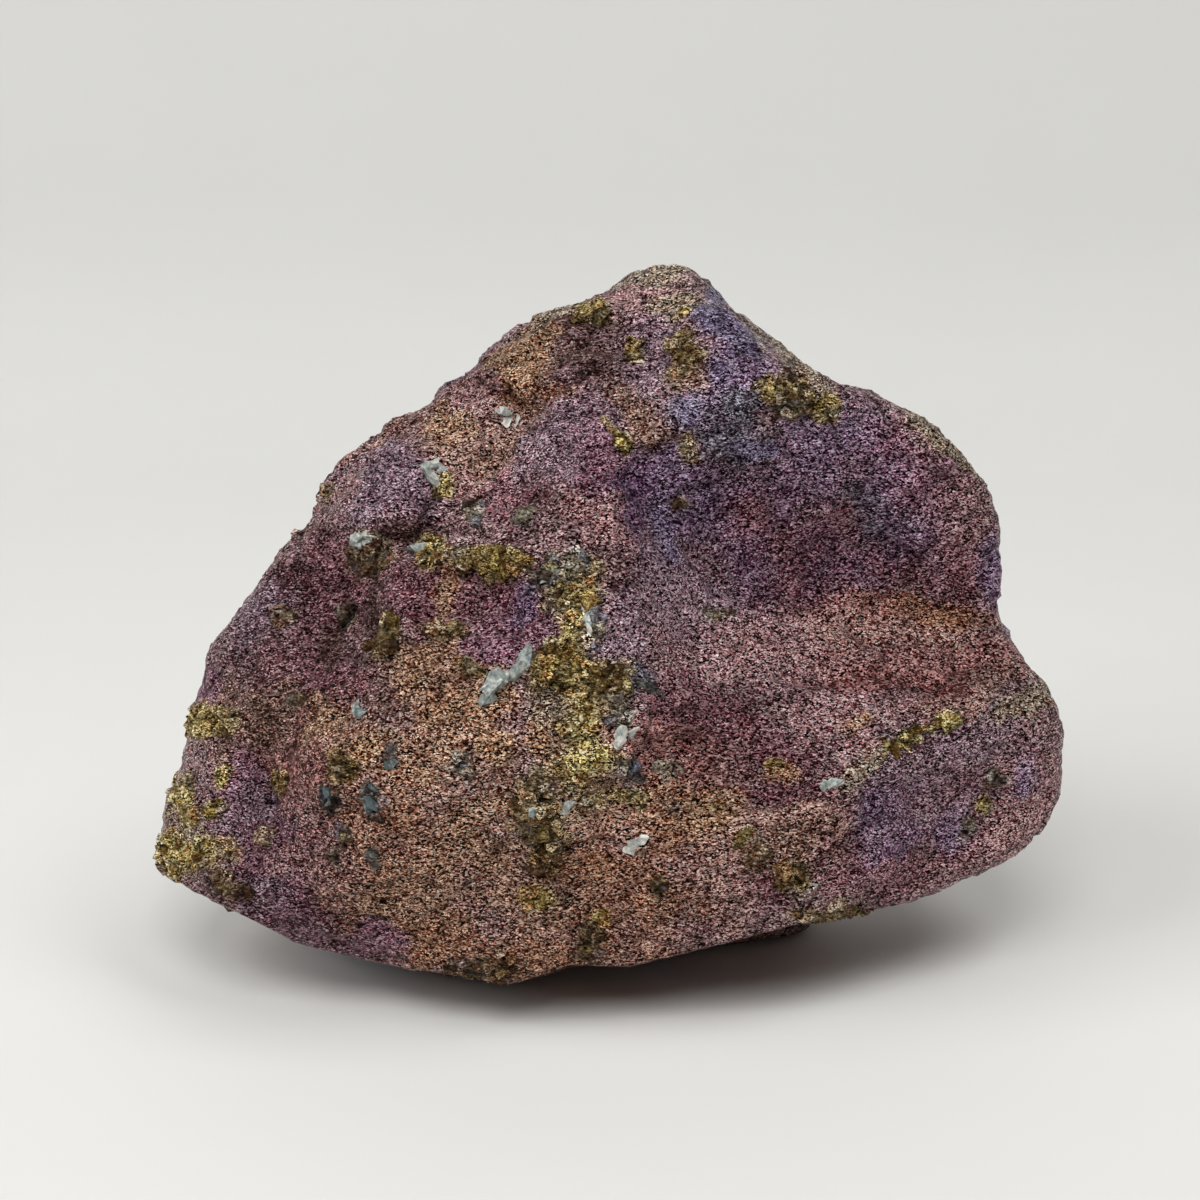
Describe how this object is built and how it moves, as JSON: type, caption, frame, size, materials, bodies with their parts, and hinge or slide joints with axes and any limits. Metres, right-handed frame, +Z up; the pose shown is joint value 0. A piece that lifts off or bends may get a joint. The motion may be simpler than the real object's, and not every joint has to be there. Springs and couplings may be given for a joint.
{
  "type": "peacock ore",
  "caption": "Broken chunk of tarnished bornite with a chalcopyrite vein and quartz specks, resting on a small flat foot.",
  "frame": {"origin": "centre of the bounding box in plan, at the level of the flat foot that the chunk rests on", "axes": "+X to the right along the chunk's longest side, +Y from the face with the vein towards the back, +Z up"},
  "size_m": [0.1006, 0.064, 0.0775],
  "materials": {
    "ore": "coarse metallic grains with an iridescent purple and copper tarnish"
  },
  "bodies": {
    "root": {"ore_chunk": "ore"}
  },
  "joints": []
}
